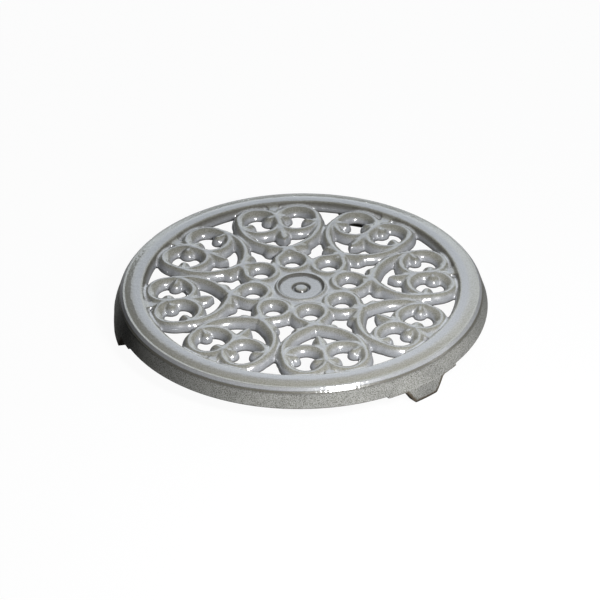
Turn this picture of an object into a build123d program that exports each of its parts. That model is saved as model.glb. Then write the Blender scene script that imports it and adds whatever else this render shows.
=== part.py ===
"""Round openwork cast-iron trivet with an enamel coat, in millimetres, standing on Z = 0.

The casting is divided along its natural members: a rim with a flared skirt, a hub, a ring of
teardrop eyelets, a ring of heart motifs with lily tracery, and three feet under the skirt.
Round stretches of the tracery are cut by formula into equal short chords.
"""

import os
from math import asin, cos, degrees, radians, sin, sqrt

from build123d import *

# Levels above the table
foot_height = 10.4
underside_height = 17.6
crest_height = 23.6
rim_top_height = 24.0

# Rim and skirt
overall_diameter = 230.0
rim_width = 20.0
rim_inner_chamfer = 1.8
shoulder_width = 4.0
shoulder_drop = 1.9
bead_width = 3.1
bead_drop = 1.2
bead_crest_width = 1.4
skirt_flare = 3.5
skirt_wall = 4.6

# Bars of the tracery: steep flanks, sloping shoulders and a narrow crest
facet_angle = 20.0
bar_half_width = 4.5
bar_shoulder = 2.9
bar_shoulder_drop = 1.1
crest_half_width = 0.8

# Blunt fingers and a spear, which stand a little below the crests
finger_facet_angle = 36.0
finger_half_width = 4.2
finger_draught = 17.0
finger_drop = 1.35
spear_length = 10.1
spear_half_width = 6.0
spear_shoulder = 5.2
spear_shoulder_reach = 4.0
spear_tip_width = 1.2
spear_drop = 1.7

# Hub
hub_diameter = 35.0
hub_mouth_diameter = 30.4
hub_well_diameter = 25.0
hub_well_depth = 2.6
hub_moat_diameter = 11.0
hub_moat_depth = 0.8
knob_diameter = 7.4
knob_rise = 0.5

# Eyelets, with a pair of spurs beside each point
motif_count = 8
eyelet_crest_radius = 9.55
eyelet_crest_gap = 2.3
eyelet_point_reach = 14.7
spur_root = 4.3
spur_root_reach = 1.2
spur_reach = 6.5
spur_angle = 6.8

# Heart motifs: arch, side and lobe, with brow, cusp, ear and spear inside
lobe_crest_radius = 12.2
lobe_rim_gap = 2.5
heart_side_length = 5.3
arch_angle = 27.7
stem_length = 3.1
brow_radius = 11.2
brow_sweep_radius = 14.5
cusp_root = 2.3
cusp_reach = 7.0
cusp_angle = 150.0
ear_root = 3.1
ear_reach = 5.4
ear_angle = -7.6

# Feet, each with a low pad along the skirt
foot_count = 3
foot_top_width = 29.0
foot_bottom_width = 18.0
foot_toe_width = 15.0
foot_toe_height = 1.2
foot_flare = 0.7
pad_width = 54.0
pad_depth = 1.0

# Places that follow from the sizes above
outer_radius = overall_diameter / 2
rim_inner_radius = outer_radius - rim_width
skirt_top_radius = outer_radius - skirt_flare
hub_radius = hub_diameter / 2
bar_height = crest_height - underside_height
half_pitch = 180.0 / motif_count
overrun = 2 * bar_half_width
underside = Plane.XY.offset(underside_height)

os.makedirs("parts", exist_ok=True)


def chords(x, y, radius, start, sweep_angle, step):
    """Corners of a round stretch about (x, y), cut into equal chords of about one step."""
    count = max(1, round(sweep_angle / step))
    angles = [radians(start + sweep_angle * number / count) for number in range(count + 1)]
    return [(x + radius * cos(angle), y + radius * sin(angle)) for angle in angles]


def bar_section():
    """Section of a tracery bar, crest along local +Y, foot on the underside of the casting."""
    with BuildSketch() as section:
        Polygon(
            (-bar_half_width, 0),
            (bar_half_width, 0),
            (bar_shoulder, bar_height - bar_shoulder_drop),
            (crest_half_width, bar_height),
            (-crest_half_width, bar_height),
            (-bar_shoulder, bar_height - bar_shoulder_drop),
            align=None,
        )
    return section.sketch


def across(path):
    """Upright plane across the start of a level path."""
    heading = path % 0
    return Plane(origin=path @ 0, x_dir=Vector(0, 0, 1).cross(heading), z_dir=heading)


# Rim: flat top, sloping shoulder and bead, then a flared skirt that is hollow underneath
shoulder_radius = skirt_top_radius - bead_width
bead_height = rim_top_height - shoulder_drop
skirt_top_height = bead_height - bead_drop
flare_slope = skirt_flare / (skirt_top_height - foot_height)
skirt_inner_top = outer_radius - skirt_wall - flare_slope * (underside_height - foot_height)

with BuildPart() as rim:
    with BuildSketch(Plane.XZ):
        Polygon(
            (rim_inner_radius, underside_height),
            (skirt_inner_top, underside_height),
            (outer_radius - skirt_wall, foot_height),
            (outer_radius, foot_height),
            (skirt_top_radius, skirt_top_height),
            (shoulder_radius + bead_crest_width, bead_height),
            (shoulder_radius, bead_height),
            (shoulder_radius - shoulder_width, rim_top_height),
            (rim_inner_radius + rim_inner_chamfer, rim_top_height),
            (rim_inner_radius, rim_top_height - rim_inner_chamfer),
            align=None,
        )
    revolve(axis=Axis.Z)
rim.part.label = "rim"
export_step(rim.part, "parts/rim.step")

# Hub: a raised ring round a shallow well, with a sunk ring and a low knob in the middle
well_height = crest_height - hub_well_depth

with BuildPart() as hub:
    with BuildSketch(Plane.XZ):
        Polygon(
            (0, underside_height),
            (hub_radius, underside_height),
            (hub_radius, crest_height),
            (hub_mouth_diameter / 2, crest_height),
            (hub_well_diameter / 2, well_height),
            (hub_moat_diameter / 2, well_height),
            (hub_moat_diameter / 2, well_height - hub_moat_depth),
            (knob_diameter / 2, well_height - hub_moat_depth),
            (knob_diameter / 2, well_height + knob_rise),
            (0, well_height + knob_rise),
            align=None,
        )
    revolve(axis=Axis.Z)
hub.part.label = "hub"
export_step(hub.part, "parts/hub.step")

# Eyelet crest: straight lines run from a circle out to a point, where the heart's arch begins
eyelet_y = hub_radius + eyelet_crest_gap + eyelet_crest_radius
apex_y = eyelet_y + eyelet_point_reach
point_angle = degrees(asin(eyelet_crest_radius / eyelet_point_reach))
point_run = sqrt(eyelet_point_reach**2 - eyelet_crest_radius**2)

# Heart crest: a straight start at the apex, an arch tangent to it, an upright side and a lobe
lobe_reach = rim_inner_radius - lobe_rim_gap - lobe_crest_radius
lobe_y = sqrt(lobe_reach**2 - lobe_crest_radius**2)
side_x = 2 * lobe_crest_radius
side_y = lobe_y - heart_side_length
rise = sin(radians(arch_angle))
run = cos(radians(arch_angle))
arch_radius = ((side_y - apex_y) * run - side_x * rise) / (1 - rise)
arch_x = side_x - arch_radius
stem_y = lobe_y - stem_length
brow_y = stem_y - brow_radius
brow_sweep = degrees(asin((side_x - brow_radius) / brow_sweep_radius))

fingers = (
    (spur_root, apex_y + spur_root_reach, spur_angle, spur_reach),
    (side_x, side_y - cusp_root, cusp_angle, cusp_reach),
    (0, lobe_y + ear_root, ear_angle, ear_reach),
)

with BuildPart() as half_motif:
    ring_corners = chords(
        0,
        eyelet_y,
        eyelet_crest_radius,
        -90 - facet_angle / 2,
        180 - point_angle + facet_angle / 2,
        facet_angle,
    )
    past_point = (
        -overrun * sin(radians(point_angle)),
        apex_y + overrun * cos(radians(point_angle)),
    )
    with BuildLine(underside) as eyelet_path:
        Polyline(*ring_corners, past_point)
    with BuildSketch(across(eyelet_path.line)):
        add(bar_section())
    sweep(path=eyelet_path.wires()[0], transition=Transition.RIGHT)

    arch_corners = chords(arch_x, side_y, arch_radius, arch_angle - 90, 90 - arch_angle, facet_angle)
    lobe_corners = chords(lobe_crest_radius, lobe_y, lobe_crest_radius, 0, 180, facet_angle)
    before_apex = (-overrun * run, apex_y - overrun * rise)
    with BuildLine(underside) as heart_path:
        Polyline(before_apex, *arch_corners, *lobe_corners)
    with BuildSketch(across(heart_path.line)):
        add(bar_section())
    sweep(path=heart_path.wires()[0], transition=Transition.RIGHT)

    bend_corners = chords(brow_radius, stem_y, brow_radius, 180, 90, facet_angle)
    sweep_corners = chords(
        brow_radius, brow_y + brow_sweep_radius, brow_sweep_radius, -90, brow_sweep, facet_angle
    )
    with BuildLine(underside) as brow_path:
        Polyline((0, lobe_y), *bend_corners, *sweep_corners[1:])
    with BuildSketch(across(brow_path.line)):
        add(bar_section())
    sweep(path=brow_path.wires()[0], transition=Transition.RIGHT)

    for root_x, root_y, angle, reach in fingers:
        with BuildSketch(underside):
            with Locations(Location((root_x, root_y), angle)):
                Polygon(
                    (0, finger_half_width),
                    (0, -finger_half_width),
                    *chords(reach, 0, finger_half_width, -90, 180, finger_facet_angle),
                    align=None,
                )
        extrude(amount=bar_height - finger_drop, taper=finger_draught)

    with BuildSketch(underside):
        with Locations((0, brow_y)):
            Polygon(
                (-spear_half_width, 0),
                (-spear_shoulder, -spear_shoulder_reach),
                (-spear_tip_width / 2, -spear_length),
                (spear_tip_width / 2, -spear_length),
                (spear_shoulder, -spear_shoulder_reach),
                (spear_half_width, 0),
                align=None,
            )
    extrude(amount=bar_height - spear_drop, taper=finger_draught)

    split(bisect_by=Plane.YZ, keep=Keep.TOP)
    split(bisect_by=Plane.YZ.rotated((0, 0, -half_pitch)), keep=Keep.BOTTOM)
    with Locations((0, 0, underside_height + bar_height / 2)):
        Cylinder(rim_inner_radius, bar_height, mode=Mode.INTERSECT)
        Cylinder(hub_radius, bar_height, mode=Mode.SUBTRACT)

with BuildPart() as motif:
    add(half_motif.part)
    mirror(about=Plane.YZ)


# The point of the eyelet is parted from the heart across the crossing of their crests
crossing = Plane.XZ.offset(-apex_y)
with BuildPart() as eyelet:
    add(motif.part)
    split(bisect_by=crossing, keep=Keep.TOP)
with BuildPart() as heart:
    add(motif.part)
    split(bisect_by=crossing, keep=Keep.BOTTOM)

for number in range(1, motif_count + 1):
    turn = 180 + (number - 1) * 360 / motif_count
    for name, master in (("eyelet", eyelet), ("heart", heart)):
        with BuildPart() as member:
            with Locations(Rotation(0, 0, turn)):
                add(master.part)
        member.part.label = f"{name}_{number}"
        export_step(member.part, f"parts/{name}_{number}.step")

# Foot: a tapered tab that carries on the skirt wall, on a low pad under the skirt
with BuildPart() as foot:
    with BuildSketch(Plane.XZ):
        Polygon(
            (outer_radius - skirt_wall, 0),
            (outer_radius + foot_flare, 0),
            (outer_radius, foot_height),
            (outer_radius - skirt_wall, foot_height),
            align=None,
        )
    revolve(axis=Axis.Z)
    with BuildSketch(Plane.YZ):
        Polygon(
            (-pad_width / 2, foot_height),
            (-pad_width / 2, foot_height - pad_depth),
            (-foot_top_width / 2, foot_height - pad_depth),
            (-foot_bottom_width / 2, foot_toe_height),
            (-foot_toe_width / 2, 0),
            (foot_toe_width / 2, 0),
            (foot_bottom_width / 2, foot_toe_height),
            (foot_top_width / 2, foot_height - pad_depth),
            (pad_width / 2, foot_height - pad_depth),
            (pad_width / 2, foot_height),
            align=None,
        )
    extrude(amount=outer_radius + foot_flare, mode=Mode.INTERSECT)

for number in range(1, foot_count + 1):
    with BuildPart() as member:
        with Locations(Rotation(0, 0, 180 + (number - 1) * 360 / foot_count)):
            add(foot.part)
    member.part.label = f"foot_{number}"
    export_step(member.part, f"parts/foot_{number}.step")
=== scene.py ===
from collections import Counter
from math import asin, atan2, cos, hypot, pi, radians, sin, sqrt

import bmesh
import bpy
import numpy as np
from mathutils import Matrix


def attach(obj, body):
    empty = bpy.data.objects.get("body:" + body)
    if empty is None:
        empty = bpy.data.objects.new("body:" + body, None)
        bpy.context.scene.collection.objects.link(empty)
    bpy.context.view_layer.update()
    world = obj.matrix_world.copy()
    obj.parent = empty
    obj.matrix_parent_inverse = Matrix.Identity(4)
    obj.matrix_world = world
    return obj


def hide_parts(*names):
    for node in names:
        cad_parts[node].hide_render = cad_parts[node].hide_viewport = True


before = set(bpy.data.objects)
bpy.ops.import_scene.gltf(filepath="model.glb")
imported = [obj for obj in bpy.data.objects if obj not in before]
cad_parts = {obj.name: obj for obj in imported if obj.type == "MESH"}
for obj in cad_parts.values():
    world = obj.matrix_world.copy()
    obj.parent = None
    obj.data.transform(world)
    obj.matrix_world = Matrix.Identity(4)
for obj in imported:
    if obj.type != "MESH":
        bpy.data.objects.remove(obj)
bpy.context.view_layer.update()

import openvdb
from mathutils import Matrix, Vector

# Sizes in millimetres, in the frame of the solids: Z up, table at Z = 0
MM = 0.001
MOTIFS = 8
PITCH = 2 * pi / MOTIFS
HALF_PITCH = PITCH / 2
UNDERSIDE = 17.6
RIM_TOP = 24.0
RIM_INNER = 95.0
RIM_JOIN = 99.5
HUB_EDGE = 17.5
SKIRT_FOOT = 10.4
SKIRT_RADIUS = 115.0
SKIRT_WALL = 4.6

# Half a motif in plan, pointing along +Y: crest lines of the eyelet, the heart and its brow
EYELET_Y, EYELET_R, EYELET_START, APEX_Y = 29.9, 9.7, radians(-120), 43.6
LOBE_X, LOBE_Y = 12.5, 80.2
SIDE_X, SIDE_Y = 25.0, 74.0
ARCH_ANGLE = radians(27.7)
STEM_Y, BROW_R, BROW_SWEEP_R = 76.3, 11.2, 14.5
TAIL_OVERRUN, LEAD_OVERRUN = 0.3, 3.0

# Heights in the casting, from its underside up
TOP = RIM_TOP - UNDERSIDE
CREST, BROW_CREST, LOBE_DIP = 6.3, 6.2, 0.9

# Half widths of the bars at their foot: inner side, its gain towards hub or rim, and outer side
EYELET_WIDTHS = (4.85, 0.3, 4.3)
HEART_WIDTHS = (5.15, 0.9, 4.0)
BROW_WIDTHS = (4.9, 4.3)

# Fingers: both ends of the spine in plan, half width and height
SPUR = ((4.3, 44.8, 10.8, 46.0), 4.4, 5.6)
CUSP = ((SIDE_X, 71.6, 18.2, 75.3), 4.1, 6.0)
EAR = ((0.0, 82.5, 5.0, 81.8), 5.1, 5.9)

# Filling under the eyelet's point, and the spear in the heart
FILL_Y, FILL_R, FILL_HEIGHT = 39.4, 4.3, 5.7
SPEAR_TIP, SPEAR_ANGLE, SPEAR_HALF, SPEAR_ROOT, SPEAR_HEIGHT = 53.9, radians(46), 4.7, 70.0, 5.8
SPEAR_SIDES, SPEAR_SHOULDER = 1.5, 2.4

# Section of the bars
ROOF, CROWN, SHOULDER, DRAUGHT = radians(26), 0.7, 3.3, radians(4)

# Reach of the soft joins
FILL_JOIN, BROW_JOIN, FINGER_JOIN, SPEAR_JOIN, SPUR_JOIN = 1.2, 0.8, 0.9, 1.6, 1.6
HALVES_JOIN, EYELET_JOIN, MOTIF_JOIN, EDGE_JOIN = 0.8, 1.0, 1.8, 1.6
WEB_JOIN, CLEFT_JOIN, RING_JOIN = 0.9, 2.0, 0.5

# Inner edge of the rim: where its slant of 45 degrees meets the top, and how softly it turns
RIM_SLANT, SLANT_SOFT, EDGE_SOFT = 98.0, 1.4, 1.0

# Web round the hub, a disc with arms between the eyelets, and the cleft, a wedge between two lobes
WEB, WEB_R, ARM_HALF, ARM_START, ARM_END = 5.0, 22.0, 2.4, 16.0, 31.5
CLEFT, CLEFT_ANGLE, CLEFT_TIP, CLEFT_START = 4.6, radians(13), 81.0, 84.0

# Hub: raised ring round a well, and a knob in a moat; walls are given by their normal, across and up
RING_R, RING_Z, RING_SECTION = 14.7, 5.0, 1.3
WELL, WELL_R, WELL_SLANT = 4.8, 12.27, radians(31)
KNOB_R, KNOB_RISE, KNOB_WALL = 3.65, 0.2, (0.927, 0.375)
DOME_R, DOME_RISE = 20.0, 0.45
MOAT_R, MOAT_DROP, MOAT_DEPTH, MOAT_WALL = 4.7, 1.3, 1.5, (0.766, 0.643)

# Distance beyond any other, and floors for divisors
FAR, TINY, TINIEST = 1e3, 1e-6, 1e-9


# Plan distances: each returns the unsigned distance and the offset to the outer side of the bar

def along_arc(x, y, cx, cy, r, start, end):
    dx, dy = x - cx, y - cy
    middle, half = (start + end) / 2, abs(end - start) / 2
    turn = (np.arctan2(dy, dx) - middle + pi) % (2 * pi) - pi
    on = np.abs(turn) <= half
    gap = np.full(x.shape, FAR)
    for a in (start, end):
        gap = np.minimum(gap, np.hypot(dx - r * cos(a), dy - r * sin(a)))
    s = np.hypot(dx, dy) - r
    return np.where(on, np.abs(s), gap), np.where(on, s, gap * np.sign(s))


def along_line(x, y, x0, y0, x1, y1, outer=1.0):
    ux, uy = x1 - x0, y1 - y0
    length = hypot(ux, uy)
    ux, uy = ux / length, uy / length
    t = np.clip((x - x0) * ux + (y - y0) * uy, 0, length)
    gap = np.hypot(x - x0 - t * ux, y - y0 - t * uy)
    s = outer * ((x - x0) * uy - (y - y0) * ux)
    return gap, gap * np.where(s >= 0, 1.0, -1.0)


def nearest(*runs):
    """Offset from the closest of several runs of one bar."""
    d, s = runs[0]
    for other_d, other_s in runs[1:]:
        closer = other_d < d
        d = np.where(closer, other_d, d)
        s = np.where(closer, other_s, s)
    return s


def facing(x, y):
    """How far a plan direction points along +Y, from 0 to 1."""
    return np.clip(y / np.maximum(np.hypot(x, y), TINY), 0, 1)


# Solid distances: bars and fingers are low roofs on steep walls, and all stand on the underside

def soft_min(a, b, k):
    h = np.clip(0.5 + 0.5 * (b - a) / k, 0, 1)
    return b + (a - b) * h - k * h * (1 - h)


def soft_max(a, b, k):
    return -soft_min(-a, -b, k)


def roof(d, z, height):
    """Ridge with a round crown, at a plan distance from its line."""
    return (z - height) * cos(ROOF) + (np.sqrt(d**2 + CROWN**2) - CROWN) * sin(ROOF)


def bar(s, z, inner, outer, height):
    """Low roof with a round shoulder on steep walls; inner and outer are the half widths at its foot."""
    w = np.where(s < 0, inner, outer)[..., None]
    d = np.abs(s)[..., None]
    wall = (d - w) * cos(DRAUGHT) + z * sin(DRAUGHT)
    return np.maximum(soft_max(roof(d, z, height), wall, SHOULDER), -z)


def finger(x, y, z, spine, width, height):
    """Round-ended bar along a spine."""
    return bar(along_line(x, y, *spine)[0], z, width, width, height)


def blur(field, sigma):
    """Rounds every edge and fills every corner as a coat of enamel does; sigma is in grid steps."""
    reach = int(3 * sigma + 0.999)
    taps = np.exp(-0.5 * (np.arange(-reach, reach + 1) / sigma) ** 2)
    taps /= taps.sum()
    for axis in range(3):
        padding = [(reach, reach) if a == axis else (0, 0) for a in range(3)]
        padded = np.pad(field, padding, mode="edge")
        n = field.shape[axis]
        out = 0
        for i, t in enumerate(taps):
            out = out + t * np.take(padded, range(i, i + n), axis=axis)
        field = out
    return field


def half_tracery(x, y, z):
    """Distances to half an eyelet, and to half a heart with what is inside it, for x >= 0."""
    point = asin(EYELET_R / (APEX_Y - EYELET_Y))
    tail_x = EYELET_R * cos(pi / 2 - point)
    tail_y = EYELET_Y + EYELET_R * sin(pi / 2 - point)
    past_x, past_y = -TAIL_OVERRUN * tail_x, APEX_Y + TAIL_OVERRUN * (APEX_Y - tail_y)
    ring = along_arc(x, y, 0, EYELET_Y, EYELET_R, EYELET_START, pi / 2 - point)
    tail = along_line(x, y, tail_x, tail_y, past_x, past_y)
    inner, gain, outer = EYELET_WIDTHS
    towards_hub = facing(x, EYELET_Y - y)
    eyelet = bar(nearest(ring, tail), z, inner + gain * towards_hub, outer, CREST)
    filling = bar(np.hypot(x, y - FILL_Y), z, FILL_R, FILL_R, FILL_HEIGHT)
    eyelet = soft_min(eyelet, filling, FILL_JOIN)

    rise, run = sin(ARCH_ANGLE), cos(ARCH_ANGLE)
    arch_r = ((SIDE_Y - APEX_Y) * run - SIDE_X * rise) / (1 - rise)
    arch_x = SIDE_X - arch_r
    start_x, start_y = -LEAD_OVERRUN * run, APEX_Y - LEAD_OVERRUN * rise
    lead = along_line(x, y, start_x, start_y, arch_x + arch_r * rise, SIDE_Y - arch_r * run)
    arch = along_arc(x, y, arch_x, SIDE_Y, arch_r, ARCH_ANGLE - pi / 2, 0)
    side = along_line(x, y, SIDE_X, SIDE_Y, SIDE_X, LOBE_Y)
    lobe = along_arc(x, y, LOBE_X, LOBE_Y, LOBE_X, 0, pi)
    inner, gain, outer = HEART_WIDTHS
    towards_rim = facing(x - LOBE_X, y - LOBE_Y)
    height = CREST - (LOBE_DIP * towards_rim**2)[..., None]
    heart = bar(nearest(lead, arch, side, lobe), z, inner + gain * towards_rim, outer, height)

    stem = along_line(x, y, 0, LOBE_Y, 0, STEM_Y, -1)
    bend = along_arc(x, y, BROW_R, STEM_Y, BROW_R, pi, 1.5 * pi)
    sweep = asin((SIDE_X - BROW_R) / BROW_SWEEP_R)
    sweep_y = STEM_Y - BROW_R + BROW_SWEEP_R
    rest = along_arc(x, y, BROW_R, sweep_y, BROW_SWEEP_R, -pi / 2, sweep - pi / 2)
    brow = bar(nearest(stem, bend, rest), z, *BROW_WIDTHS, BROW_CREST)

    tip = np.abs(x) * cos(SPEAR_ANGLE) - (y - SPEAR_TIP) * sin(SPEAR_ANGLE)
    flank = np.maximum(soft_max(tip, np.abs(x) - SPEAR_HALF, SPEAR_SIDES), y - SPEAR_ROOT)[..., None]
    flank = flank * cos(DRAUGHT) + z * sin(DRAUGHT)
    spear = np.maximum(soft_max(roof(x[..., None], z, SPEAR_HEIGHT), flank, SPEAR_SHOULDER), -z)

    heart = soft_min(heart, brow, BROW_JOIN)
    heart = soft_min(heart, finger(x, y, z, *CUSP), FINGER_JOIN)
    heart = soft_min(heart, finger(x, y, z, *EAR), FINGER_JOIN)
    heart = soft_min(heart, spear, SPEAR_JOIN)
    heart = soft_min(heart, finger(x, y, z, *SPUR), SPUR_JOIN)
    return eyelet, heart


def casting(x, y, z):
    """Distance to the hub, the tracery and the inner edge of the rim round one half motif."""
    eyelet, heart = half_tracery(x, y, z)
    other_eyelet, other_heart = half_tracery(-x, y, z)
    hearts = soft_min(heart, other_heart, HALVES_JOIN)
    own = soft_min(np.minimum(eyelet, other_eyelet), hearts, EYELET_JOIN)
    u, v = sin(HALF_PITCH), cos(HALF_PITCH)
    dot = 2 * (x * u + y * v)
    next_eyelet, next_heart = half_tracery(dot * u - x, dot * v - y, z)
    field = soft_min(own, np.minimum(next_eyelet, next_heart), MOTIF_JOIN)

    rho = np.hypot(x, y)[..., None]
    wall = soft_max(RIM_INNER - rho, (RIM_SLANT - rho + z - TOP) * sqrt(0.5), SLANT_SOFT)
    rim = np.maximum(soft_max(wall, z - TOP, EDGE_SOFT), -z)
    field = soft_min(field, rim, EDGE_JOIN)

    across = np.abs(x * v - y * u)[..., None]
    along = (x * u + y * v)[..., None]
    arm = np.maximum(np.maximum(across - ARM_HALF, along - ARM_END), ARM_START - along)
    web = np.maximum(z - WEB, np.minimum(rho - WEB_R, arm))
    field = soft_min(field, np.maximum(web, -z), WEB_JOIN)
    cleft = np.abs(x) * cos(CLEFT_ANGLE) - (y - CLEFT_TIP) * sin(CLEFT_ANGLE)
    cleft = np.maximum(cleft, CLEFT_START - y)[..., None]
    field = soft_min(field, np.maximum(np.maximum(cleft, z - CLEFT), -z), CLEFT_JOIN)

    ring = np.hypot(rho - RING_R, z - RING_Z) - RING_SECTION
    field = soft_min(field, ring, RING_JOIN)
    slant = (rho - WELL_R) * sin(WELL_SLANT) - (z - WELL) * cos(WELL_SLANT)
    field = np.maximum(field, -np.maximum(WELL - z, slant))
    knob_wall = (rho - KNOB_R) * KNOB_WALL[0] + (z - WELL - KNOB_RISE) * KNOB_WALL[1]
    moat_wall = (rho - MOAT_R) * MOAT_WALL[0] - (z - WELL + MOAT_DROP) * MOAT_WALL[1]
    moat = np.maximum(np.maximum(-knob_wall, moat_wall), WELL - MOAT_DEPTH - z)
    field = np.maximum(field, -moat)
    dome = np.hypot(rho, z - WELL - DOME_RISE + DOME_R) - DOME_R
    knob = np.maximum(np.maximum(dome, knob_wall), -z)
    return np.maximum(np.minimum(field, knob), z - TOP)


# Grids over half a motif: the field under a thin coat, its slope, and how hollow its surface is
STEP = 0.45
LOW = np.array([-2.0, -2.0, -1.5])
REACH = (44.0, 102.4, 10.0)
COAT, HOLLOW_COAT, LEAST_SLOPE = 0.36, 0.5, 0.2
counts = [int(reach / STEP) + 2 for reach in REACH]
axes = [low + STEP * np.arange(count) for low, count in zip(LOW, counts)]
gx, gy = np.meshgrid(axes[0], axes[1], indexing="ij")
FIELD = blur(casting(gx, gy, axes[2][None, None, :]), COAT / STEP)
SLOPE = np.stack(np.gradient(FIELD, STEP), -1)
WAY_OUT = SLOPE / np.maximum(np.linalg.norm(SLOPE, axis=-1), LEAST_SLOPE)[..., None]
SPREAD = sum(np.gradient(WAY_OUT[..., i], STEP, axis=i) for i in range(3))
HOLLOW = blur(-SPREAD, HOLLOW_COAT / STEP)


def between(grid, points):
    """What a grid holds at points, between its corners."""
    p = (points - LOW) / STEP
    i = np.clip(np.floor(p).astype(int), 0, np.array(counts) - 2)
    f = p - i
    value = 0
    for corner in range(8):
        bits = np.array([corner & 1, corner >> 1 & 1, corner >> 2 & 1])
        w = np.prod(np.where(bits, f, 1 - f), axis=1)
        j = i + bits
        value = value + w.reshape(-1, *[1] * (grid.ndim - 3)) * grid[j[:, 0], j[:, 1], j[:, 2]]
    return value


OUTSIDE = 9.0
PULLS, LONGEST_PULL, LEAST_SQUARE = 3, 0.15, 0.1


def surface():
    """Quads on the surface of the field, with each corner pulled onto it."""
    grid = openvdb.FloatGrid(OUTSIDE)
    grid.copyFromArray(FIELD.astype(np.float32))
    points, quads = grid.convertToQuads(isovalue=0.0)
    points = points.astype(float) * STEP + LOW
    for _ in range(PULLS):
        value, slope = between(FIELD, points), between(SLOPE, points)
        pull = value / np.maximum((slope**2).sum(1), LEAST_SQUARE)
        points = points - slope * np.clip(pull, -LONGEST_PULL, LONGEST_PULL)[:, None]
    return points, quads


# Cuts at the faces where the solids meet
ON_PLANE, SAME_SPOT, POLAR_R = 1e-5, 1e-4, 60.0


def cut(bm, origin, normal, cap):
    """Keeps what lies behind the plane, and closes the solid there if asked."""
    geom = list(bm.verts) + list(bm.edges) + list(bm.faces)
    halves = bmesh.ops.bisect_plane(
        bm, geom=geom, dist=ON_PLANE, plane_co=origin, plane_no=normal, clear_outer=True
    )
    if cap:
        edges = [e for e in halves["geom_cut"] if isinstance(e, bmesh.types.BMEdge)]
        filled = bmesh.ops.triangle_fill(
            bm, edges=edges, use_beauty=False, use_dissolve=False, normal=normal
        )
        layer = bm.faces.layers.int["cap"]
        for face in filled["geom"]:
            if isinstance(face, bmesh.types.BMFace):
                face[layer] = 1


def polar(bm, forward):
    """Swaps plan coordinates for angle and radius, so that a cylinder becomes a plane."""
    for vert in bm.verts:
        x, y, z = vert.co
        if forward:
            vert.co = (atan2(x, y) * POLAR_R, hypot(x, y), z)
        else:
            vert.co = (y * sin(x / POLAR_R), y * cos(x / POLAR_R), z)


points, quads = surface()
wedge = bpy.data.meshes.new("wedge")
wedge.from_pydata(points.tolist(), [], quads.tolist())


def wedge_part(side_cap, *cuts):
    """Points, faces and caps of the half motif between radii or levels; capped cuts come first."""
    bm = bmesh.new()
    bm.from_mesh(wedge)
    bm.faces.layers.int.new("cap")
    side = (cos(HALF_PITCH), -sin(HALF_PITCH), 0)
    if side_cap:
        cut(bm, (0, 0, 0), side, True)
        bmesh.ops.recalc_face_normals(bm, faces=bm.faces)
    for kind, place, sign, cap in cuts:
        if kind == "radius":
            polar(bm, True)
        cut(bm, (0, place, 0), (0, sign, 0), cap)
        if kind == "radius":
            polar(bm, False)
        if cap:
            bmesh.ops.recalc_face_normals(bm, faces=bm.faces)
    if not side_cap:
        cut(bm, (0, 0, 0), side, False)
    cut(bm, (0, 0, 0), (-1, 0, 0), False)
    bmesh.ops.remove_doubles(bm, verts=bm.verts, dist=SAME_SPOT)
    bm.verts.index_update()
    verts = np.array([v.co[:] for v in bm.verts])
    faces = [[v.index for v in f.verts] for f in bm.faces]
    layer = bm.faces.layers.int["cap"]
    caps = [f[layer] for f in bm.faces]
    bm.free()
    return verts, faces, caps


def turned(verts, angle):
    c, s = cos(angle), sin(angle)
    x, y, z = verts.T
    return np.stack([c * x - s * y, s * x + c * y, z], 1)


# Painted shade: dark spots in tight hollows of the tracery; also dark rings by radius in the moat and on
# the well's slope
PAINTED_SHADE_HOLLOW, PAINTED_SHADE_SPAN = 0.6, 0.4
PAINTED_SHADE_FADE = ([80.0, 84.0], [1, 0])
DARK_MOAT_RING = ([3.5, 3.9, 5.3, 6.9], [0, 1, 0.85, 0])
DARK_WELL_RING = ([11.8, 12.6, 14.4, 15.3], [0, 0.7, 0.7, 0])
UPPER = 2.0


def copies(part, turns):
    """The half motif and its mirror image at every turn; skin is normal, hollow, and the painted shade and
    dark rings of each point.
    """
    verts, faces, caps = part
    slope = between(SLOPE, verts)
    normals = slope / np.maximum(np.linalg.norm(slope, axis=1), TINIEST)[:, None]
    hollow = between(HOLLOW, verts)
    rho = np.hypot(verts[:, 0], verts[:, 1])
    # Painted shade in tight hollows, faded out near the rim; the dark rings of moat and well are added to
    # it
    shade_and_wear = np.clip((hollow - PAINTED_SHADE_HOLLOW) / PAINTED_SHADE_SPAN, 0, 1) * np.interp(rho, *PAINTED_SHADE_FADE)
    for band in (DARK_MOAT_RING, DARK_WELL_RING):
        shade_and_wear = np.maximum(shade_and_wear, np.interp(rho, *band) * (verts[:, 2] > UPPER))
    all_verts, all_skin, all_faces, all_caps, base = [], [], [], [], 0
    for angle in turns:
        for mirror in (1, -1):
            flip = np.array([mirror, 1, 1])
            all_verts.append(turned(verts * flip, angle))
            all_skin.append(np.column_stack([turned(normals * flip, angle), hollow, shade_and_wear]))
            all_faces += [[base + i for i in face[::mirror]] for face in faces]
            all_caps += caps
            base += len(verts)
    return np.concatenate(all_verts), np.concatenate(all_skin), all_faces, all_caps


WELD = 0.002


def weld(verts, skin, faces, caps):
    """Joins the copies along the planes where they meet, by two roundings with different limits."""
    owner = np.arange(len(verts))
    for shift in (0.37, 0.11):
        key = np.round(verts[owner] / WELD + shift).astype(np.int64)
        _, first, back = np.unique(key, axis=0, return_index=True, return_inverse=True)
        owner = owner[first][back.ravel()]
    kept, back = np.unique(owner, return_inverse=True)
    out_faces, out_caps = [], []
    for face, cap in zip(faces, caps):
        ids = [int(back[i]) for i in face]
        ids = [v for i, v in enumerate(ids) if v != ids[i - 1]]
        if len(set(ids)) == len(ids) and len(ids) > 2:
            out_faces.append(ids)
            out_caps.append(cap)
    return verts[kept], skin[kept], out_faces, out_caps


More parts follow.
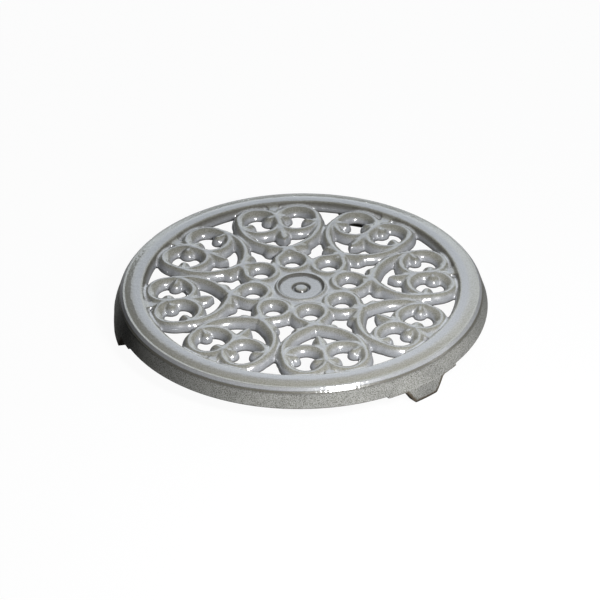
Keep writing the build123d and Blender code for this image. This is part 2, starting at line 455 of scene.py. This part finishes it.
def build(name, verts, skin, faces, caps):
    """Mesh in metres with the field's normals on its skin and flat normals on its cut ends."""
    mesh = bpy.data.meshes.new(name)
    mesh.from_pydata(((verts + np.array([0, 0, UNDERSIDE])) * MM).tolist(), [], faces)
    mesh.shade_smooth()
    corner_vert = np.empty(len(mesh.loops), np.int32)
    mesh.loops.foreach_get("vertex_index", corner_vert)
    totals = np.empty(len(mesh.polygons), np.int32)
    mesh.polygons.foreach_get("loop_total", totals)
    flat = np.empty(len(mesh.polygons) * 3, np.float32)
    mesh.polygons.foreach_get("normal", flat)
    per_face = np.repeat(np.arange(len(totals)), totals)
    on_cap = np.array(caps)[per_face] == 1
    corner = np.where(on_cap[:, None], flat.reshape(-1, 3)[per_face], skin[corner_vert, :3])
    mesh.normals_split_custom_set(corner.tolist())
    for column, layer in ((3, "hollow"), (4, "shade_and_wear")):
        values = skin[:, column].astype(np.float32)
        mesh.attributes.new(layer, "FLOAT", "POINT").data.foreach_set("value", values)
    return mesh


def zipper(loop_a, loop_b, verts, flip):
    """Triangles between two rings of points that both run round the axis."""
    def angle(i):
        return atan2(verts[i][1], verts[i][0])

    a, b = sorted(loop_a, key=angle), sorted(loop_b, key=angle)
    turn_a, turn_b = [[angle(i) for i in ring] for ring in (a, b)]
    out, i, j = [], 0, 0
    while i < len(a) or j < len(b):
        next_a = turn_a[i + 1] if i + 1 < len(a) else turn_a[0] + 2 * pi
        next_b = turn_b[j + 1] if j + 1 < len(b) else turn_b[0] + 2 * pi
        if j >= len(b) or (i < len(a) and next_a <= next_b):
            face = [a[i % len(a)], a[(i + 1) % len(a)], b[j % len(b)]]
            i += 1
        else:
            face = [a[i % len(a)], b[(j + 1) % len(b)], b[j % len(b)]]
            j += 1
        out.append(face[::-1] if flip else face)
    return out


# Rounded profiles
ARC_STEPS = 6


def rounded(corners):
    """Polyline whose corners (x, y, radius) are turned into short arcs of a fixed number of points."""
    out = []
    for i, (x, y, r) in enumerate(corners):
        if r == 0 or i in (0, len(corners) - 1):
            out.append((x, y))
            continue
        here = np.array((x, y))
        a = np.array(corners[i - 1][:2]) - here
        b = np.array(corners[i + 1][:2]) - here
        a, b = a / np.linalg.norm(a), b / np.linalg.norm(b)
        half = 0.5 * np.arccos(np.clip(a @ b, -1, 1))
        reach = r / np.tan(half)
        middle = here + (a + b) / np.linalg.norm(a + b) * r / np.sin(half)
        p, q = here + a * reach - middle, here + b * reach - middle
        span = np.arccos(np.clip(p @ q / r**2, -1, 1))
        for k in range(ARC_STEPS + 1):
            t = k / ARC_STEPS
            w = np.sin((1 - t) * span) * p + np.sin(t * span) * q
            out.append(tuple(middle + w / max(np.sin(span), TINIEST)))
    return out


def rim_profile(edge):
    """Section from the flat over shoulder, bead and skirt to the underside: radius, height, rounding."""
    return np.array(rounded([
        (99.9, RIM_TOP, 0),
        (100.6, RIM_TOP, 0),
        (103.4, RIM_TOP, 14.0),
        (108.4, 22.5, 1.6),
        (109.6, 22.68, 0.8),
        (111.05, 20.98, 0.2),
        (111.0, 20.8, 0.1),
        (111.85, 19.8, 0.35),
        (SKIRT_RADIUS, SKIRT_FOOT, edge),
        (SKIRT_RADIUS - SKIRT_WALL, SKIRT_FOOT, edge),
        (108.1, UNDERSIDE, 2.2),
        (99.9, UNDERSIDE, 0),
    ]))


def piece(name, mesh, node, turn=0.0):
    obj = bpy.data.objects.new(name, mesh)
    bpy.context.scene.collection.objects.link(obj)
    obj.rotation_euler[2] = turn
    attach(obj, "root")
    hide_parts(node)


# Tracery and hub: parts of the half motif; a cut is its kind, place, side taken away, and cap or not
eyelet_cuts = (True, ("radius", HUB_EDGE, -1, True), ("level", APEX_Y, 1, True))
heart_cuts = (True, ("level", APEX_Y, -1, True), ("radius", RIM_INNER, 1, True))
hub_cuts = (False, ("radius", HUB_EDGE, 1, True))
edge_cuts = (False, ("radius", RIM_INNER, -1, True), ("radius", RIM_JOIN, 1, False))
full_turn = [k * PITCH for k in range(MOTIFS)]

eyelet_mesh = build("eyelet_skin", *weld(*copies(wedge_part(*eyelet_cuts), [0.0])))
heart_mesh = build("heart_skin", *weld(*copies(wedge_part(*heart_cuts), [0.0])))
for number in range(MOTIFS):
    turn = pi + number * PITCH
    piece(f"eyelet_{number + 1}_cast", eyelet_mesh, f"eyelet_{number + 1}", turn)
    piece(f"heart_{number + 1}_cast", heart_mesh, f"heart_{number + 1}", turn)
hub_mesh = build("hub_skin", *weld(*copies(wedge_part(*hub_cuts), full_turn)))
piece("hub_cast", hub_mesh, "hub")

# Rim: the inner edge comes from the casting's field, the rest is turned from a profile
FEET = (pi, -pi / 3, pi / 3)
PAD_HALF, PAD_LEVEL = 27.0, 9.4
PAD_ANGLE, PAD_FADE = asin(PAD_HALF / SKIRT_RADIUS), 0.006
ROUND_EDGE, SQUARE_EDGE = 0.6, 0.02
EDGE_WEAR, EDGE_WEAR_HEIGHT = 0.8, 1.2
HALFWAY = 3.0
COLUMNS = 480
rim_verts, rim_skin, rim_faces, rim_caps = weld(*copies(wedge_part(*edge_cuts), full_turn))
uses = Counter(frozenset(pair) for face in rim_faces for pair in zip(face, face[1:] + face[:1]))
join = sorted({i for pair, count in uses.items() if count == 1 for i in pair})
join_top = [i for i in join if rim_verts[i][2] > HALFWAY]
join_low = [i for i in join if rim_verts[i][2] < HALFWAY]
round_edge, square_edge = rim_profile(ROUND_EDGE), rim_profile(SQUARE_EDGE)
base, rows = len(rim_verts), len(round_edge)
ring_verts, ring_skin = [], []
for column in range(COLUMNS):
    angle = 2 * pi * column / COLUMNS
    c, s = cos(angle), sin(angle)
    off = min(abs((angle - foot + pi) % (2 * pi) - pi) for foot in FEET)
    w = np.clip((off - PAD_ANGLE) / PAD_FADE, 0, 1)
    profile = square_edge * (1 - w) + round_edge * w
    radius, level = profile.T
    along = np.gradient(profile, axis=0)
    normal = np.stack([-along[:, 1], along[:, 0]], 1)
    out, up = (normal / np.linalg.norm(normal, axis=1)[:, None]).T
    worn_and_shaded = EDGE_WEAR * w * np.clip(1 - (level - SKIRT_FOOT) / EDGE_WEAR_HEIGHT, 0, 1)
    ring_verts.append(np.stack([radius * c, radius * s, level - UNDERSIDE], 1))
    ring_skin.append(np.stack([out * c, out * s, up, 0 * worn_and_shaded, worn_and_shaded], 1))
    for row in range(rows - 1):
        a, b = base + column * rows + row, base + (column + 1) % COLUMNS * rows + row
        rim_faces.append([a, a + 1, b + 1, b])
rim_verts = np.concatenate([rim_verts] + ring_verts)
rim_skin = np.concatenate([rim_skin] + ring_skin)
first_row = [base + k * rows for k in range(COLUMNS)]
last_row = [i + rows - 1 for i in first_row]
rim_faces += zipper(join_top, first_row, rim_verts, True)
rim_faces += zipper(join_low, last_row, rim_verts, False)
rim_caps += [0] * (len(rim_faces) - len(rim_caps))
rim_mesh = build("rim_skin", rim_verts, rim_skin, rim_faces, rim_caps)
piece("rim_cast", rim_mesh, "rim")

# Feet: tapered tabs that carry on the skirt, each on a low pad
FOOT_ROOT, FOOT_SOLE, ROOT_ROUND, SOLE_ROUND = 14.8, 8.6, 3.5, 1.8
FOOT_FLARE, FOOT_INNER_FLARE = 0.69, 0.4
OUTLINE_STEP, DEEP = 0.8, 10
FOOT_BEVEL, SHARP, BELOW_PAD = 0.8, radians(50), 9.6
SAME_FOOT_SPOT, THIN = 1e-6, 0.01
FOOT_WEAR, FOOT_WEAR_REACH, WEAR_BELOW, PAD_WEAR = 1.15, 2.6, 0.5, ([12, 17], [1, 0.45])
right_side = [
    (FOOT_SOLE, 0.0, SOLE_ROUND),
    (FOOT_ROOT, PAD_LEVEL, ROOT_ROUND),
    (PAD_HALF, PAD_LEVEL, 0),
    (PAD_HALF, SKIRT_FOOT, 0),
]
outline = rounded([(-x, z, r) for x, z, r in right_side[::-1]] + right_side)
dense = []
for (x0, z0), (x1, z1) in zip(outline[:-1], outline[1:]):
    steps = max(1, int(hypot(x1 - x0, z1 - z0) / OUTLINE_STEP))
    dense += [(x0 + (x1 - x0) * k / steps, z0 + (z1 - z0) * k / steps) for k in range(steps)]
dense.append(outline[-1])


def foot_radius(level, outside):
    """Radius of the foot's outer or inner face at a level."""
    fall = (SKIRT_FOOT - level) / SKIRT_FOOT
    if outside:
        return SKIRT_RADIUS + FOOT_FLARE * (1 - (1 - fall) ** 3)
    return SKIRT_RADIUS - SKIRT_WALL + FOOT_INNER_FLARE * fall


foot_verts, foot_faces = [], []
for t, low in dense:
    for outside in (True, False):
        for k in range(DEEP + 1):
            level = SKIRT_FOOT + (low - SKIRT_FOOT) * k / DEEP
            foot_verts.append((sqrt(foot_radius(level, outside) ** 2 - t**2), t, level))
span = 2 * (DEEP + 1)
for j in range(len(dense) - 1):
    a, b = j * span, (j + 1) * span
    for k in range(DEEP):
        foot_faces.append([a + k, a + k + 1, b + k + 1, b + k])
        foot_faces.append([b + DEEP + 1 + k, b + DEEP + 2 + k, a + DEEP + 2 + k, a + DEEP + 1 + k])
    foot_faces.append([a + DEEP, a + span - 1, b + span - 1, b + DEEP])
    foot_faces.append([b, b + DEEP + 1, a + DEEP + 1, a])
foot_mesh = bpy.data.meshes.new("foot_skin")
foot_mesh.from_pydata((np.array(foot_verts) * MM).tolist(), [], foot_faces)
bm = bmesh.new()
bm.from_mesh(foot_mesh)
bmesh.ops.remove_doubles(bm, verts=bm.verts, dist=SAME_FOOT_SPOT)
bmesh.ops.recalc_face_normals(bm, faces=bm.faces)
sharp_edges = []
for e in bm.edges:
    low = min(v.co.z for v in e.verts) < BELOW_PAD * MM
    if len(e.link_faces) == 2 and e.calc_face_angle(0) > SHARP and low:
        sharp_edges.append(e)
bmesh.ops.bevel(
    bm, geom=sharp_edges, offset=FOOT_BEVEL * MM, segments=3, profile=0.5,
    affect="EDGES", clamp_overlap=True,
)
bmesh.ops.dissolve_degenerate(bm, dist=THIN * MM, edges=bm.edges)
bm.to_mesh(foot_mesh)
bm.free()
foot_mesh.shade_smooth()
foot_at = np.array([v.co[:] for v in foot_mesh.vertices]) / MM
foot_edge = np.array([p for p in dense if p[1] < SKIRT_FOOT - WEAR_BELOW])
from_edge = np.hypot(*(foot_at[:, None, 1:] - foot_edge[None]).transpose(2, 0, 1)).min(1)
worn_and_shaded = np.clip(FOOT_WEAR - from_edge / FOOT_WEAR_REACH, 0, 1)
worn_and_shaded = (worn_and_shaded * np.interp(np.abs(foot_at[:, 1]), *PAD_WEAR)).astype(np.float32)
foot_mesh.attributes.new("shade_and_wear", "FLOAT", "POINT").data.foreach_set("value", worn_and_shaded)
for number, angle in enumerate(FEET):
    piece(f"foot_{number + 1}_cast", foot_mesh, f"foot_{number + 1}", angle)


# Nodes

def add(tree, kind, links=None, **settings):
    """One node: settings go on the node, links and plain values on its named or numbered inputs."""
    node = tree.nodes.new(kind)
    for key, value in settings.items():
        setattr(node, key, value)
    for key, value in (links or {}).items():
        if isinstance(value, bpy.types.NodeSocket):
            tree.links.new(value, node.inputs[key])
        else:
            node.inputs[key].default_value = value
    return node


def grey(value):
    return (value, value, value)


def ramp(tree, factor, stops):
    node = add(tree, "ShaderNodeValToRGB", {0: factor})
    band = node.color_ramp
    while len(band.elements) < len(stops):
        band.elements.new(0.5)
    for element, (at, colour) in zip(band.elements, stops):
        element.position = at
        element.color = (*colour, 1)
    return node.outputs[0]


def mix(tree, factor, a, b, how="MIX"):
    links = {0: factor, 6: a, 7: b}
    return add(tree, "ShaderNodeMix", links, data_type="RGBA", blend_type=how).outputs[2]


def arith(tree, how, a, b=0.0):
    return add(tree, "ShaderNodeMath", {0: a, 1: b}, operation=how).outputs[0]


def noise(tree, place, scale, detail):
    links = {"Vector": place, "Scale": scale, "Detail": detail}
    return add(tree, "ShaderNodeTexNoise", links).outputs[0]


def swing(tree, place, scale, detail, reach):
    """Noise that swings about zero."""
    centred = arith(tree, "SUBTRACT", noise(tree, place, scale, detail), 0.5)
    return arith(tree, "MULTIPLY", centred, reach)


def attribute(tree, name):
    return add(tree, "ShaderNodeAttribute", attribute_name=name).outputs["Fac"]


def height_over(tree, place, level, reach):
    """Height above a level, as a share of a reach, both in millimetres."""
    height = add(tree, "ShaderNodeSeparateXYZ", {0: place}).outputs[2]
    return arith(tree, "MULTIPLY", arith(tree, "SUBTRACT", height, level * MM), 1 / (reach * MM))


def finish(name):
    material = bpy.data.materials.new(name)
    material.use_nodes = True
    tree = material.node_tree
    place = add(tree, "ShaderNodeTexCoord").outputs["Object"]
    return material, tree, tree.nodes["Principled BSDF"], place


# Colours of the gloss enamel
# Pale of upright faces: partly thicker enamel, partly painted reflection of the bright floor
WALL = (0.328, 0.337, 0.356)
LEVEL_GREY = (0.293, 0.298, 0.309)
FLAT_GREY = (0.294, 0.301, 0.315)
SHOULDER_GREY = (0.304, 0.302, 0.283)
# Pale bead: partly a painted highlight along the rim's outer edge
BEAD_GREY = (0.339, 0.347, 0.362)
OLIVE = (0.288, 0.285, 0.255)
POOL = (0.44, 0.451, 0.474)
# Painted shade on the rim's inner slant
INNER_SHADE = (0.12, 0.116, 0.10)
INNER_WALL = (0.25, 0.256, 0.268)
LIP_DARK = (0.135, 0.13, 0.11)
SHADE = (0.056, 0.053, 0.048)
BLACK, WHITE = grey(0), grey(1)

# Noises: scale per metre and detail; the cloud also has its reach
CLOUD = (230.0, 3.0, 0.10)
MOTTLE, SPECK = (1250.0, 4.0), (1500.0, 2.0)
MOTTLE_STOPS = [(0.34, (0.70, 0.685, 0.64)), (0.52, (0.98, 0.98, 0.97)), (0.68, (1.10, 1.10, 1.11))]
SPECK_STOPS = [(0.32, (0.84, 0.83, 0.80)), (0.62, grey(1.06))]

# Painted shade along the lower edge, its reach in millimetres, and the scale that brings downward tilts
# into a ramp's range for painted shade on faces that look down
LOWER_SHADE_REACH, UNDER_SCALE = 2.0, 0.8


def glaze(name, coat, peel, ripple):
    """Glossy enamel with a coat of its own colours, which pools in hollows and is thin on edges; painted
    shade darkens tight hollows, the lower edge and faces that look down.
    """
    material, tree, shader, place = finish(name)
    cloud = swing(tree, place, *CLOUD)
    normal = add(tree, "ShaderNodeNewGeometry").outputs["Normal"]
    up = add(tree, "ShaderNodeSeparateXYZ", {0: normal}).outputs[2]
    tilt = arith(tree, "DIVIDE", arith(tree, "ARCCOSINE", up), pi / 2)
    tilt = arith(tree, "ADD", tilt, arith(tree, "MULTIPLY", cloud, tilt))
    skin, thin = coat(tree, tilt, place, cloud)
    hollow = arith(tree, "ADD", attribute(tree, "hollow"), cloud)
    pool = ramp(tree, hollow, [(0.06, BLACK), (0.40, grey(0.8))])
    skin = mix(tree, pool, skin, (*POOL, 1))
    # Painted shade towards the underside and on faces that look down, on top of the painted shade and dark
    # rings from the mesh
    rise = height_over(tree, place, UNDERSIDE, LOWER_SHADE_REACH)
    lower_edge_shade = ramp(tree, rise, [(0.25, grey(0.92)), (0.45, grey(0.5)), (0.85, BLACK)])
    under = ramp(tree, arith(tree, "MULTIPLY", tilt, UNDER_SCALE), [(0.76, BLACK), (0.86, WHITE)])
    worn_and_shaded = arith(tree, "MAXIMUM", attribute(tree, "shade_and_wear"), lower_edge_shade)
    skin = mix(tree, arith(tree, "MAXIMUM", worn_and_shaded, under), skin, (*SHADE, 1))
    mottle = ramp(tree, noise(tree, place, *MOTTLE), MOTTLE_STOPS)
    skin = mix(tree, thin, skin, mix(tree, 1.0, skin, mottle, "MULTIPLY"))
    speck = ramp(tree, noise(tree, place, *SPECK), SPECK_STOPS)
    tree.links.new(mix(tree, 1.0, skin, speck, "MULTIPLY"), shader.inputs["Base Color"])
    height = noise(tree, place, ripple, 2.0)
    bump = add(tree, "ShaderNodeBump", {"Strength": 1.0, "Distance": peel, "Height": height})
    tree.links.new(bump.outputs[0], shader.inputs["Normal"])
    tree.links.new(bump.outputs[0], shader.inputs["Coat Normal"])
    shader.inputs["Roughness"].default_value = 0.34
    shader.inputs["Coat Weight"].default_value = 1.0
    shader.inputs["Coat Roughness"].default_value = 0.03
    shader.inputs["Coat IOR"].default_value = 1.6
    return material


def tracery_coat(tree, tilt, *_):
    """Pale on level and upright faces, the upright ones partly a painted reflection of the bright floor;
    olive where the enamel ran thin on the slopes between.
    """
    skin = ramp(tree, tilt, [(0.04, LEVEL_GREY), (0.16, OLIVE), (0.36, OLIVE), (0.62, WALL)])
    thin = ramp(tree, tilt, [(0.05, BLACK), (0.18, WHITE), (0.46, WHITE), (0.60, BLACK)])
    return skin, thin


# Rings of the rim: their reach from its inner edge, in millimetres, and their share of the cloud
RINGS_REACH, RINGS_CLOUD = 20.0, 0.8


def rim_coat(tree, tilt, place, cloud):
    """Rings of pale flat, olive shoulder, pale bead and dark lip, the bead partly a painted highlight;
    colours by tilt on the inner wall, its slant in painted shade.
    """
    flat = add(tree, "ShaderNodeVectorMath", {0: place, 1: (1, 1, 0)}, operation="MULTIPLY").outputs[0]
    radius = add(tree, "ShaderNodeVectorMath", {0: flat}, operation="LENGTH").outputs["Value"]
    from_edge = arith(tree, "SUBTRACT", radius, RIM_INNER * MM)
    ring = arith(tree, "MULTIPLY", from_edge, 1 / (RINGS_REACH * MM))
    blown = arith(tree, "ADD", ring, arith(tree, "MULTIPLY", cloud, RINGS_CLOUD))
    skin = ramp(tree, blown, [(0.36, FLAT_GREY), (0.47, SHOULDER_GREY), (0.60, OLIVE)])
    # Pale bead ring, partly a painted highlight
    bead = ramp(tree, ring, [(0.715, BLACK), (0.745, WHITE)])
    skin = mix(tree, bead, skin, (*BEAD_GREY, 1))
    lip = ramp(tree, ring, [(0.798, BLACK), (0.808, WHITE)])
    skin = mix(tree, lip, skin, (*LIP_DARK, 1))
    thin = ramp(tree, blown, [(0.38, BLACK), (0.50, grey(0.6)), (0.70, grey(0.6)), (0.74, BLACK)])
    opening = ramp(tree, ring, [(0.22, WHITE), (0.26, BLACK)])
    # Inner wall by tilt, with painted shade on its slant
    wall = ramp(tree, tilt, [(0.04, FLAT_GREY), (0.20, OLIVE), (0.46, INNER_SHADE), (0.76, INNER_WALL)])
    thin_wall = ramp(tree, tilt, [(0.05, BLACK), (0.18, WHITE), (0.50, WHITE), (0.66, BLACK)])
    return mix(tree, opening, skin, wall), mix(tree, opening, thin, thin_wall)


enamel = glaze("pale_enamel", rim_coat, 0.00018, 420.0)
tracery_enamel = glaze("tracery_enamel", tracery_coat, 0.00002, 620.0)

# Thin, grainy enamel of the skirt and the feet
GRAIN, DRIFT, RAGGED = (1900.0, 3.0), (60.0, 3.0), (700.0, 4.0, 1.3)
GRAIN_STOPS = [
    (0.34, (0.072, 0.070, 0.061)),
    (0.47, (0.275, 0.274, 0.253)),
    (0.66, (0.392, 0.392, 0.381)),
]
DRIFT_STOPS = [(0.3, grey(0.86)), (0.7, (1.08, 1.08, 1.07))]
WORN_IRON, LIP_LINE = (0.08, 0.061, 0.038), (0.08, 0.075, 0.064)
LIP_REACH, LIP_RAGGED = 10.0, 0.12
skirt, tree, shader, place = finish("thin_enamel")
grain = noise(tree, place, *GRAIN)
drift = ramp(tree, noise(tree, place, *DRIFT), DRIFT_STOPS)
body = mix(tree, 1.0, ramp(tree, grain, GRAIN_STOPS), drift, "MULTIPLY")
ragged = swing(tree, place, *RAGGED)
shade_and_wear = attribute(tree, "shade_and_wear")
shade_and_wear = arith(tree, "ADD", shade_and_wear, arith(tree, "MULTIPLY", ragged, shade_and_wear))
body = mix(tree, ramp(tree, shade_and_wear, [(0.35, BLACK), (0.75, grey(0.9))]), body, (*WORN_IRON, 1))
lip = height_over(tree, place, SKIRT_FOOT, LIP_REACH)
lip = arith(tree, "ADD", lip, arith(tree, "MULTIPLY", ragged, LIP_RAGGED))
body = mix(tree, ramp(tree, lip, [(0.82, BLACK), (0.95, grey(0.7))]), body, (*LIP_LINE, 1))
tree.links.new(body, shader.inputs["Base Color"])
bump = add(tree, "ShaderNodeBump", {"Strength": 0.25, "Distance": 0.0003, "Height": grain})
tree.links.new(bump.outputs[0], shader.inputs["Normal"])
shader.inputs["Roughness"].default_value = 0.6
shader.inputs["Specular IOR Level"].default_value = 0.1

for mesh in (eyelet_mesh, heart_mesh, hub_mesh):
    mesh.materials.append(tracery_enamel)
foot_mesh.materials.append(skirt)
rim_mesh.materials.append(enamel)
rim_mesh.materials.append(skirt)
SKIRT_FROM, SKIRT_BELOW = 108.0, 19.75
for poly in rim_mesh.polygons:
    radius, level = hypot(*poly.center[:2]) / MM, poly.center.z / MM
    poly.material_index = int(radius > SKIRT_FROM and level < SKIRT_BELOW)

# Camera at the photograph's viewing angle; shifts and distance count in UNIT
VIEW_RISE, VIEW_ROLL, VIEW_TURN = radians(33.1212), radians(-0.59225), radians(10.3211)
SHIFT_X, SHIFT_Y, DISTANCE, SKIRT_UNITS = -0.0057406, -0.0629155, 25.0, 1.02
UNIT, LEVEL = SKIRT_RADIUS / SKIRT_UNITS, 21.75
FOCAL_PIXELS, IMAGE_PIXELS, SENSOR = 4588.3, 600, 36
back = Vector((0, -cos(VIEW_RISE), sin(VIEW_RISE)))
right = Vector((1, 0, 0))
up = back.cross(right)
c, s = cos(VIEW_ROLL), sin(VIEW_ROLL)
right, up = c * right + s * up, c * up - s * right
unturn = Matrix.Rotation(-VIEW_TURN, 3, "Z")
stand = unturn @ (back * DISTANCE + right * SHIFT_X + up * SHIFT_Y)
stand = stand * UNIT * MM + Vector((0, 0, LEVEL * MM))
turn = Matrix([unturn @ axis for axis in (right, up, back)]).transposed()
lens = bpy.data.cameras.new("camera")
lens.sensor_width = SENSOR
lens.lens = FOCAL_PIXELS / IMAGE_PIXELS * SENSOR
lens.clip_end = 100
camera = bpy.data.objects.new("camera", lens)
camera.matrix_world = Matrix.Translation(stand) @ turn.to_4x4()
bpy.context.scene.collection.objects.link(camera)
bpy.context.scene.camera = camera

# Floor: white to the camera, weaker in reflections, dark in the light that it throws back
FLOOR_HALF, FLOOR_GLOW, FLOOR_MIRRORED = 4.0, 0.95, 0.2
floor_mesh = bpy.data.meshes.new("floor")
corners = [(x * FLOOR_HALF, y * FLOOR_HALF, 0) for x, y in ((-1, -1), (1, -1), (1, 1), (-1, 1))]
floor_mesh.from_pydata(corners, [], [(0, 1, 2, 3)])
floor = bpy.data.objects.new("floor", floor_mesh)
bpy.context.scene.collection.objects.link(floor)
white = bpy.data.materials.new("floor")
white.use_nodes = True
tree = white.node_tree
shader = tree.nodes["Principled BSDF"]
shader.inputs["Base Color"].default_value = (0.8, 0.8, 0.8, 1)
shader.inputs["Roughness"].default_value = 0.9
dark = add(tree, "ShaderNodeBsdfDiffuse", {"Color": (0.06, 0.06, 0.06, 1)})
path = add(tree, "ShaderNodeLightPath")
mirrored = arith(tree, "MAXIMUM", path.outputs["Is Glossy Ray"], path.outputs["Is Transmission Ray"])
mirrored = arith(tree, "MULTIPLY", mirrored, FLOOR_MIRRORED)
seen = arith(tree, "MAXIMUM", path.outputs["Is Camera Ray"], mirrored)
glow = add(tree, "ShaderNodeEmission")
pale = add(tree, "ShaderNodeMixShader", {0: FLOOR_GLOW, 1: shader.outputs[0], 2: glow.outputs[0]})
blend = add(tree, "ShaderNodeMixShader", {0: seen, 1: dark.outputs[0], 2: pale.outputs[0]})
tree.links.new(blend.outputs[0], tree.nodes["Material Output"].inputs["Surface"])
floor_mesh.materials.append(white)

# World: white to the camera, almost no light of its own
world = bpy.data.worlds.new("studio")
bpy.context.scene.world = world
world.use_nodes = True
tree = world.node_tree
dim = tree.nodes["Background"]
dim.inputs["Color"].default_value = (0.95, 0.98, 1.0, 1)
dim.inputs["Strength"].default_value = 0.01
bright = add(tree, "ShaderNodeBackground", {"Color": (1, 1, 1, 1)})
seen = add(tree, "ShaderNodeLightPath").outputs["Is Camera Ray"]
blend = add(tree, "ShaderNodeMixShader", {0: seen, 1: dim.outputs[0], 2: bright.outputs[0]})
tree.links.new(blend.outputs[0], tree.nodes["World Output"].inputs["Surface"])


def lamp(name, azimuth, elevation, distance, wide, tall, radiance, colour, mirrored=True):
    """Softbox that faces the trivet; azimuth is from the camera's side, positive to its right."""
    data = bpy.data.lights.new(name, "AREA")
    data.shape = "RECTANGLE"
    data.size, data.size_y, data.energy = wide, tall, radiance * pi * wide * tall
    data.color = colour
    obj = bpy.data.objects.new(name, data)
    a, e = radians(azimuth) - VIEW_TURN, radians(elevation)
    obj.location = Vector((sin(a) * cos(e), -cos(a) * cos(e), sin(e))) * distance
    obj.rotation_euler = obj.location.to_track_quat("Z", "Y").to_euler()
    obj.visible_glossy = mirrored
    bpy.context.scene.collection.objects.link(obj)


lamp("key", 24, 40, 0.55, 0.11, 0.16, 64.0, (0.985, 0.99, 1.0))
lamp("back", 175.5, 29, 1.6, 1.35, 1.3, 1.52, (0.86, 0.93, 1.0))
lamp("right", 86, 18, 1.6, 0.5, 0.5, 2.0, (0.97, 0.985, 1.0))
lamp("rear", 186, 2.5, 1.6, 1.2, 0.1, 120.0, (0.95, 0.975, 1.0), False)

bpy.context.scene.view_settings.view_transform = "Standard"
